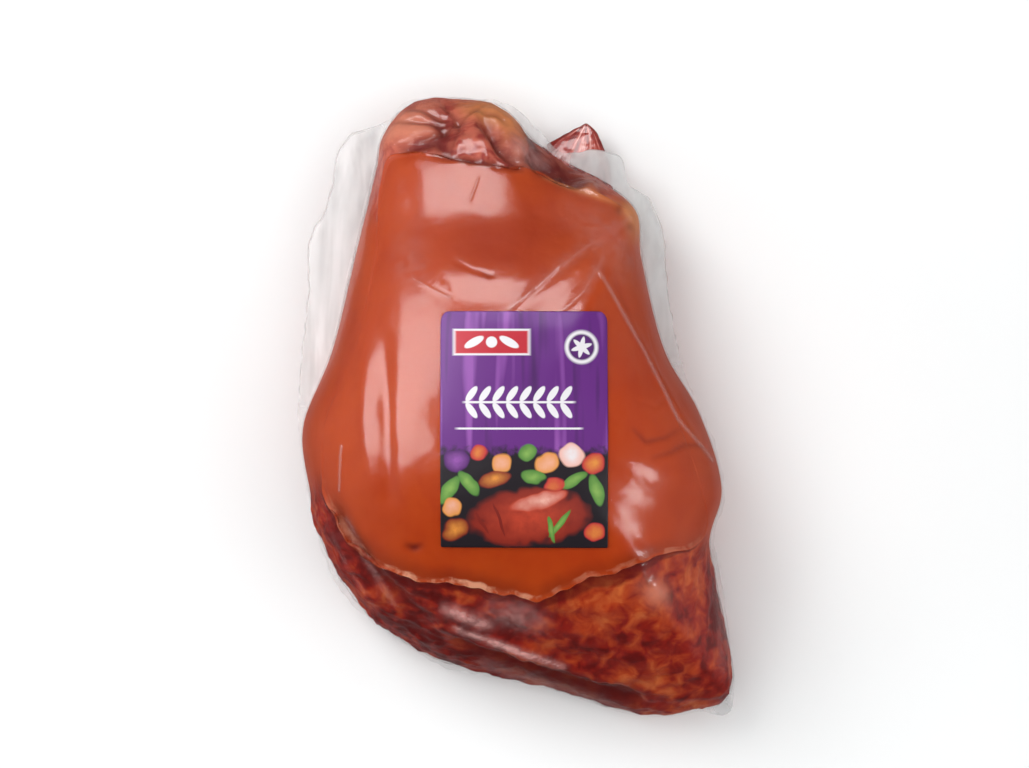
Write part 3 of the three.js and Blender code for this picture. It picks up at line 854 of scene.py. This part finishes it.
def ham_material():
    shader = new_material("smoked rind and meat")
    clouds = shader.range(shader.noise(16, 4, 0.55, 0.4), 0.35, 0.65)
    mottle = shader.range(shader.noise(150, 4, 0.6), 0.45, 0.75)
    rind = shader.mix(clouds, RIND_BROWN, RIND_OCHRE)
    rind = shader.mix(shader.times(mottle, 0.18), rind, RIND_RED)
    streaks = shader.noise(60, 3, 0.5, 0.3, shader.moved(shader.place(), size=(1, 4, 1)))
    rind = shader.mix(shader.range(streaks, 0.5, 0.75, 0, 0.4), rind, RIND_RED)
    colour = shader.mix(shader.attribute("meat"), rind, meat_colour(shader))
    tan_patches = shader.range(shader.noise(105, 4, 0.62, 1.2), 0.40, 0.58)
    hock = shader.mix(tan_patches, HOCK_RED, HOCK_TAN)
    colour = shader.mix(shader.attribute("hock"), colour, hock)
    for tint, share, tint_colour in TINTS:
        colour = shader.mix(shader.times(shader.attribute(tint), share), colour, tint_colour)
    # painted shade near the butt's cut edge, broken up by noise
    shaded = shader.range(shader.noise(40, 3), 0.35, 0.6, 0.15, 0.6)
    colour = shader.mix(shader.times(shader.attribute("edge"), shaded), colour, RIND_SHADOW)
    broken = shader.range(shader.noise(130, 3, 0.6), 0.44, 0.60, 0.05, 0.95)
    # the pale lip: partly pale fat, partly a painted highlight
    colour = shader.mix(shader.times(shader.attribute("lip"), broken), colour, LIP_PALE_AND_GLINT)
    normal = shader.bump(shader.noise(420, 4, 0.6), 0.00025, 0.4)
    surface = shader.node("ShaderNodeBsdfPrincipled", {
        "Base Color": colour, "Roughness": 0.5, "Normal": normal, "Subsurface Weight": 0.1,
        "Subsurface Radius": (0.004, 0.0012, 0.0006), "Subsurface Scale": 1.0, "Specular IOR Level": 0.12,
    })
    return shader.finish(surface.outputs[0])


def lump_material():
    shader = new_material("smoked meat")
    streak_place = shader.node("ShaderNodeCombineXYZ", {
        0: shader.times(shader.attribute("around"), 2.4), 1: shader.attribute("from_tip"),
    }).outputs[0]
    # the streaks raise a small relief; their pale pink is painted film reflection on the lump's right
    streaks = shader.noise(2.2, 3, 0.6, 0.2, streak_place)
    stops = [(0.38, MEAT_MAROON), (0.48, MEAT_RED), (0.55, (0.48, 0.08, 0.055)), (0.64, (0.78, 0.38, 0.34))]
    across = shader.parts(shader.place())[0]
    colour = shader.mix(shader.range(across, 0.016, 0.026), MEAT_RED, shader.ramp(streaks, stops))
    normal = shader.bump(streaks, 0.0012, 0.8)
    surface = shader.node("ShaderNodeBsdfPrincipled", {
        "Base Color": colour, "Roughness": 0.4, "Normal": normal, "Coat Weight": 1.0,
        "Coat Roughness": 0.15, "Specular IOR Level": 0.3,
    })
    return shader.finish(surface.outputs[0])


def crease_lines(shader):
    """The creases' straight stretches as (line, 1 for a ridge or -1 for a groove)."""
    return [
        (shader.line(start, end, CREASE_LINE * width), math.copysign(1, height))
        for points, width, height in CREASES for start, end in zip(points, points[1:])
    ]


def film_haze(shader, streaks, lines):
    """How cloudy the film is: the loose margin seen flat, the hazes with their painted reflections and
    glints, the painted highlight where the margin leaves the meat, and the creases.
    """
    cloudy = shader.times(shader.attribute("loose"), shader.range(streaks, 0.3, 0.7, 0.42, 0.66))
    up = shader.parts(shader.node("ShaderNodeNewGeometry").outputs["Normal"])[2]
    flat = shader.range(shader.math("ABSOLUTE", up), 0.35, 0.8)
    uneven = shader.range(shader.noise(190, 4, 0.6), 0.34, 0.62, 0.3, 1)
    # the hazes and painted glints, broken up by noise
    uneven_haze_and_glint = shader.times(shader.attribute("haze_and_glint"), uneven)
    broken = shader.range(shader.noise(70, 3), 0.35, 0.6, 0.15, 0.7)
    # the painted highlight where the margin leaves the meat
    seam_glint = shader.times(shader.attribute("seam_glint"), broken)
    haze = shader.math("MAXIMUM", shader.math("MAXIMUM", shader.times(cloudy, flat), uneven_haze_and_glint), seam_glint)
    for line, _ in lines:
        haze = shader.math("MAXIMUM", haze, shader.times(line, CREASE_HAZE))
    return haze


def film_normal(shader, lines):
    """The film's relief: its creases over fine crinkles over ripples, which are larger over cut meat."""
    relief = 0.0
    for line, side in lines:
        relief = shader.math("ADD", relief, shader.times(line, side))
    ripples = shader.times(
        shader.noise(60, 3, 0.5, 0.6), shader.math("ADD", shader.attribute("over_meat"), 0.35),
    )
    ripples = shader.bump(ripples, 0.0012, 0.5)
    fine = shader.bump(shader.noise(240, 3, 0.5, 1.2), 0.00016, 0.4, ripples)
    return shader.bump(relief, 0.0003, 0.7, fine)


def film_material():
    shader = new_material("clear film")
    streaks = shader.noise(40, 3, 0.5, 0.5, shader.moved(shader.place(), size=(0.6, 2.6, 1)))
    lines = crease_lines(shader)
    haze = film_haze(shader, streaks, lines)
    normal = film_normal(shader, lines)
    pale = shader.ramp(streaks, [(0.35, (0.62, 0.61, 0.61)), (0.6, (0.9, 0.89, 0.89))])
    across = shader.parts(shader.place())[0]
    # painted shadow: the margin greyer towards the right, where the ham's shadow lies
    pale = shader.mix(shader.range(across, 0.0, 0.05, 0, 0.6), pale, MARGIN_SHADOW_GREY)
    # pink where painted glints and haze lie on the film
    pale = shader.mix(shader.times(shader.attribute("haze_and_glint"), 5), pale, HAZE_AND_GLINT_PINK)
    roughness = shader.math("ADD", shader.times(shader.attribute("loose"), 0.25), 0.2)
    tight = shader.math("SUBTRACT", 1.0, shader.times(shader.attribute("margin"), 0.96))
    shiny = shader.math("SUBTRACT", 1.0, shader.times(shader.attribute("dull"), 0.8), clamp=True)
    mirror = shader.times(shader.math("MINIMUM", shader.mirror_share(normal), MIRROR_MOST), shiny)
    clear = shader.node("ShaderNodeBsdfTransparent", {"Color": (0.98, 0.98, 0.98)})
    white = shader.node("ShaderNodeBsdfDiffuse", {"Color": pale, "Normal": normal})
    gloss = shader.node("ShaderNodeBsdfGlossy", {
        "Color": (1, 1, 1), "Roughness": roughness, "Normal": normal,
    })
    sheet = shader.node("ShaderNodeMixShader", {0: haze, 1: clear.outputs[0], 2: white.outputs[0]})
    surface = shader.node("ShaderNodeMixShader", {
        0: shader.times(tight, mirror), 1: sheet.outputs[0], 2: gloss.outputs[0],
    })
    return shader.finish(surface.outputs[0])


# The label's print in millimetres from its middle: fields of colour and simple shapes
PURPLE = (0.120, 0.013, 0.200)
LILAC = (0.270, 0.070, 0.370)
VIOLET = (0.070, 0.009, 0.120)
CRIMSON = (0.50, 0.012, 0.028)
PALE = (0.78, 0.76, 0.79)
NIGHT = (0.014, 0.010, 0.014)
LEAF = (0.07, 0.22, 0.035)
LIME = (0.22, 0.40, 0.08)
ORANGE = (0.72, 0.27, 0.04)
GLAZE = (0.20, 0.014, 0.008)
ROAST = (0.50, 0.050, 0.020)
SHEEN = (0.80, 0.42, 0.34)

BLOCK_SOFT = 0.08  # how soft a block's edge is, as a share of half its size

# Blocks as (middle, size, colour), and round shapes as (middle, radii, turn, rim colour, middle colour)
PRINT_BLOCKS = [
    ((-13, 35), (32, 11), PALE), ((-13, 35), (30.4, 9.4), CRIMSON), ((-2, 11), (46, 0.9), PALE),
    ((-2, 0.5), (52, 0.8), PALE),
]
PRINT_SHAPES = [
    ((23, 33), (7.2, 7.2), 0, PALE, PALE), ((23, 33), (5.6, 5.6), 0, VIOLET, PURPLE),
    ((23, 33), (4.6, 1.1), 0.3, PALE, PALE), ((23, 33), (4.6, 1.1), 1.35, PALE, PALE),
    ((23, 33), (4.6, 1.1), 2.4, PALE, PALE), ((-20, 35), (4.6, 1.7), 0.5, PALE, PALE),
    ((-13, 35), (2.4, 2.4), 0, PALE, PALE), ((-6, 35), (4.6, 1.7), -0.5, PALE, PALE),
    ((-27, -12), (5.5, 5), 0, VIOLET, LILAC), ((-18, -9), (4.2, 3.6), 0.4, CRIMSON, ORANGE),
    ((-9, -13), (5, 4), 1.2, ORANGE, SHEEN), ((1, -9), (4.4, 3.6), 0.2, LEAF, LIME),
    ((9, -13), (5.6, 4.4), 0.5, ORANGE, SHEEN), ((19, -10), (5.4, 5), 0, SHEEN, PALE),
    ((28, -13), (5, 4.6), 0.3, CRIMSON, ORANGE), ((-30, -24), (7.5, 3), 0.9, LEAF, LIME),
    ((-22, -21), (7, 2.6), 2.2, LEAF, LIME), ((29, -24), (7.5, 2.8), 1.9, LEAF, LIME),
    ((20, -20), (6.5, 2.4), 0.6, LEAF, LIME), ((-12, -20), (7, 3.4), 0.3, GLAZE, ORANGE),
    ((4, -19), (6, 3.2), -0.3, LEAF, LIME), ((12, -22), (5, 3.6), 0.2, CRIMSON, ORANGE),
    ((-29, -31), (4.4, 4), 0.2, ORANGE, SHEEN), ((-28, -40), (6.5, 5), 0.4, GLAZE, ORANGE),
    ((2, -35), (26, 13), 0.1, GLAZE, ROAST), ((6, -28.5), (13, 3.6), 0.25, ROAST, SHEEN),
    ((-10, -36), (0.7, 8), 0.35, GLAZE, GLAZE), ((-17, -37), (0.7, 6), 0.5, GLAZE, GLAZE),
    ((14, -38), (8, 1.2), 0.9, LEAF, LIME), ((11, -40), (6, 1.1), 1.8, LEAF, LIME),
    ((28, -41), (4.5, 4), 0, CRIMSON, ORANGE),
]
PRINT_SPRIG = [
    ((-21 + 5.4 * step, 11 + side * 3.3), (3.9, 1.45), side * 0.95, PALE, PALE)
    for step in range(8) for side in (-1, 1)
]


def label_material():
    shader = new_material("printed label")
    uv = shader.node("ShaderNodeUVMap", uv_map="print").outputs[0]
    print_place = shader.moved(uv, (0.5, 0.5, 0), 0, (1 / LABEL_SIZE[0], 1 / LABEL_SIZE[1], 1))
    wobble = shader.node("ShaderNodeTexNoise", {"Vector": print_place, "Scale": 0.12, "Detail": 1.0})
    inputs = {0: wobble.outputs["Color"], 1: (0.5,) * 3}
    shift = shader.node("ShaderNodeVectorMath", inputs, operation="SUBTRACT").outputs[0]
    shift = shader.node("ShaderNodeVectorMath", {0: shift, "Scale": 2.4}, operation="SCALE").outputs[0]
    uneven = shader.node("ShaderNodeVectorMath", {0: print_place, 1: shift}).outputs[0]

    def from_middle(centre, size, turn, where):
        where = shader.moved(where, (*centre, 0), turn, (size[0], size[1], 1))
        return shader.node("ShaderNodeVectorMath", {0: where}, operation="LENGTH").outputs["Value"]

    def block(centre, size):
        where = shader.moved(print_place, (*centre, 0), 0, (size[0] / 2, size[1] / 2, 1))
        parts = shader.parts(shader.node("ShaderNodeVectorMath", {0: where}, operation="ABSOLUTE").outputs[0])
        return shader.range(shader.math("MAXIMUM", parts[0], parts[1]), 1 - BLOCK_SOFT, 1, 1, 0)

    grain = shader.noise(0.35, 3, 0.6, 0.5, print_place)
    planks = shader.noise(0.11, 2, 0.6, 0, shader.moved(print_place, size=(1, 14, 1)))
    colour = shader.ramp(planks, [(0.36, VIOLET), (0.44, PURPLE), (0.56, PURPLE), (0.66, LILAC)])
    for centre, size, paint_colour in PRINT_BLOCKS:
        colour = shader.mix(block(centre, size), colour, paint_colour)
    waves = shader.math("ADD", shader.times(grain, 9), -12)
    below = shader.math("SUBTRACT", waves, shader.parts(print_place)[1])
    colour = shader.mix(shader.range(below, -1, 3), colour, NIGHT)
    speckle = shader.range(shader.noise(0.5, 2, 0.6, 0, print_place), 0.4, 0.7)
    for centre, size, turn, rim, middle in PRINT_SHAPES + PRINT_SPRIG:
        away = from_middle(centre, size, turn, uneven if centre[1] < 0 else print_place)
        tone = shader.mix(shader.range(away, 0.15, 0.95), middle, rim)
        tone = shader.mix(shader.times(speckle, 0.25), tone, rim)
        colour = shader.mix(shader.range(away, 0.86, 1, 1, 0), colour, tone)
    surface = shader.node("ShaderNodeBsdfPrincipled", {
        "Base Color": colour, "Roughness": 0.45, "Coat Weight": 0.1, "Coat Roughness": 0.3,
        "Specular IOR Level": 0.35, "Normal": shader.bump(shader.noise(90, 3), 0.0004, 0.4),
    })
    return shader.finish(surface.outputs[0])


def dress(piece, material, slot, *nodes):
    """Gives a piece its material, attaches it to the root body and hides the CAD nodes that it stands for;
    the slot is not used.
    """
    piece.data.materials.clear()
    piece.data.materials.append(material)
    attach(piece, "root")
    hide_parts(*nodes)


# The floor, the lights and the camera over the ham
def make_floor():
    deselect_all()
    bpy.ops.mesh.primitive_plane_add(size=6)
    floor = bpy.context.object
    floor.name = "floor"
    shader = new_material("pale floor")
    tone = shader.mix(shader.noise(3, 2), (0.905, 0.92, 0.922), (0.92, 0.935, 0.937))
    surface = shader.node("ShaderNodeBsdfDiffuse", {"Color": tone})
    floor.data.materials.append(shader.finish(surface.outputs[0]))
    floor.visible_glossy = False


# How bright the panels and the room are, and where the camera is
PANEL_BRIGHTNESS = 7.4
FILL_BRIGHTNESS = 1.35
KEY_BRIGHTNESS = 6.0
LOW_BRIGHTNESS = 2.6
ROOM_DARK = 0.02
ROOM_BRIGHT = 0.28
PANEL_AIM = 0.09  # the height over the table that the panels face
CAMERA_PLACE = (-0.00106, 0.00986, 1.75)
CAMERA_LENS = 143.3
CAMERA_SENSOR = 36


def panel(name, azimuth, down, away, size, brightness, glint, roll=0):
    """
    A bright panel that faces the ham from an azimuth, so many degrees down from straight overhead, and turned
    in its own plane by roll. A glint panel only shows in gloss, and the others only light what is there.
    """
    deselect_all()
    turn, tilt = math.radians(azimuth), math.radians(down)
    place = (
        away * math.sin(tilt) * math.cos(turn), away * math.sin(tilt) * math.sin(turn),
        PANEL_AIM + away * math.cos(tilt),
    )
    bpy.ops.object.light_add(type="AREA", location=place)
    light = bpy.context.object
    light.name = name
    light.data.shape = "RECTANGLE"
    light.data.size, light.data.size_y = size
    facing = Euler((tilt, 0, turn + math.pi / 2)).to_matrix() @ Euler((0, 0, math.radians(roll))).to_matrix()
    light.rotation_euler = facing.to_euler()
    light.data.energy = brightness * math.pi * size[0] * size[1]
    light.visible_camera = False
    light.visible_glossy = glint
    light.visible_diffuse = not glint


def make_room():
    """A room that is dark overhead and towards the ham's two ends, and pale to its left, right and below."""
    room = bpy.data.worlds.new("studio")
    bpy.context.scene.world = room
    shader = Shader(room)
    parts = shader.parts(shader.node("ShaderNodeTexCoord").outputs["Generated"])
    sideways = shader.range(shader.math("ABSOLUTE", parts[0]), 0.62, 0.92)
    low = shader.range(parts[2], 0.45, 0.8, 1, 0)
    under = shader.range(parts[2], -0.92, -0.7, 1, 0)
    pale = shader.math("MAXIMUM", shader.times(sideways, low), under)
    brightness = shader.range(pale, 0, 1, ROOM_DARK, ROOM_BRIGHT)
    light = shader.node("ShaderNodeBackground", {"Color": (1, 1, 1), "Strength": brightness})
    shader.finish(light.outputs[0], "ShaderNodeOutputWorld")


def light_and_camera():
    make_room()
    panel("overhead fill", 90, 0, 1.9, (3.4, 3.4), FILL_BRIGHTNESS, False)
    panel("key light", 135, 42, 1.6, (0.8, 0.8), KEY_BRIGHTNESS, False)
    panel("right fill", -17, 74, 1.6, (1.4, 0.7), LOW_BRIGHTNESS * 1.05, False)
    panel("left fill", 185, 76, 1.6, (1.4, 0.6), LOW_BRIGHTNESS * 0.9, False)
    panel("hock panel", 92, 62, 1.3, (1.45, 0.52), PANEL_BRIGHTNESS, True)
    panel("side panel", 163, 56, 1.3, (1.35, 0.8), PANEL_BRIGHTNESS * 0.86, True, 30)
    panel("small panel", -14, 62, 1.2, (0.32, 0.36), PANEL_BRIGHTNESS * 1.2, True)
    deselect_all()
    bpy.ops.object.camera_add(location=CAMERA_PLACE, rotation=(0, 0, 0))
    camera = bpy.context.object
    camera.data.lens = CAMERA_LENS
    camera.data.sensor_width = CAMERA_SENSOR
    camera.data.clip_start = 0.05
    bpy.context.scene.camera = camera
    bpy.context.scene.view_settings.view_transform = "Standard"


ham = make_ham()
film = make_film(ham)
lump = make_lump()
label = make_label(film)
dress(ham, ham_material(), "film_wrapped_ham", "vacuum_bag")
dress(lump, lump_material(), "film_wrapped_ham", "vacuum_bag")
dress(film, film_material(), "clear_film", "vacuum_bag")
dress(label, label_material(), "label_paper", "label")
make_floor()
light_and_camera()
